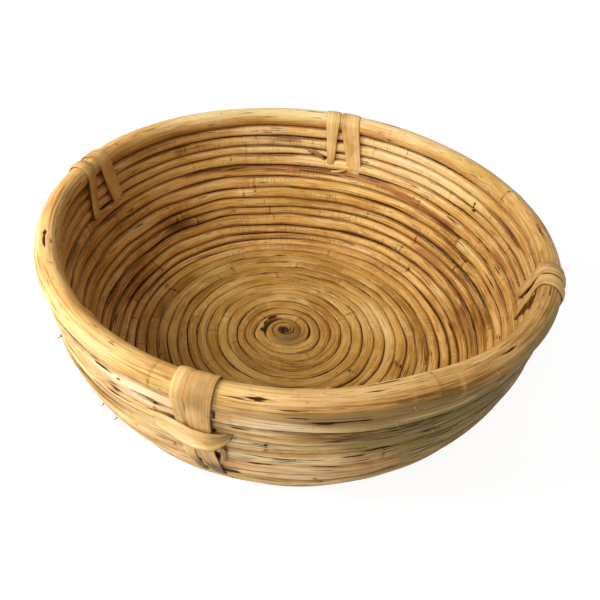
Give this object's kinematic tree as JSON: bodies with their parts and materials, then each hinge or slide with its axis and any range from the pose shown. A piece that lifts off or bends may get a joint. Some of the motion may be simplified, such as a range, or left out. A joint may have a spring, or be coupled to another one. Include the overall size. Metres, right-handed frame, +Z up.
{
  "type": "coiled rattan basket",
  "caption": "Round open bowl of coiled rattan cane with a flat floor, a thicker rim hoop and flat peel lashings over the rim.",
  "frame": {"origin": "on the bowl's vertical axis, on the plane it rests on", "axes": "+Z up through the mouth, the lashing with its band across faces -Y"},
  "size_m": [0.2985, 0.2997, 0.1078],
  "materials": {
    "floor_cane": "satin, olive-golden cane with dark grooves",
    "wall_cane": "satin, honey to brown cane with a fine grain",
    "rim_cane": "satin, golden cane with a fine grain",
    "peel": "smooth peel, light golden brown",
    "nail": "plain wire nail"
  },
  "bodies": {
    "root": {"base_cane_1": "floor_cane", "base_cane_2": "floor_cane", "wall_cane_1": "wall_cane", "wall_cane_2": "wall_cane", "wall_cane_3": "wall_cane", "wall_cane_4": "wall_cane", "wall_cane_5": "wall_cane", "rim_cane": "rim_cane", "lashing_front": "peel", "lashing_right": "peel", "lashing_back": "peel", "lashing_left": "peel", "nail_1_1": "nail", "nail_1_2": "nail", "nail_2_1": "nail", "nail_2_2": "nail", "nail_3_1": "nail", "nail_3_2": "nail", "nail_4_1": "nail", "nail_4_2": "nail", "nail_5_1": "nail", "nail_5_2": "nail", "nail_6_1": "nail", "nail_6_2": "nail", "nail_7_1": "nail", "nail_7_2": "nail", "nail_8_1": "nail", "nail_8_2": "nail", "nail_9_1": "nail", "nail_9_2": "nail", "nail_10_1": "nail", "nail_10_2": "nail", "nail_11_1": "nail", "nail_11_2": "nail", "nail_12_1": "nail", "nail_12_2": "nail", "rim_nail_left": "nail", "rim_nail_front": "nail", "rim_nail_splice": "nail"}
  },
  "joints": []
}
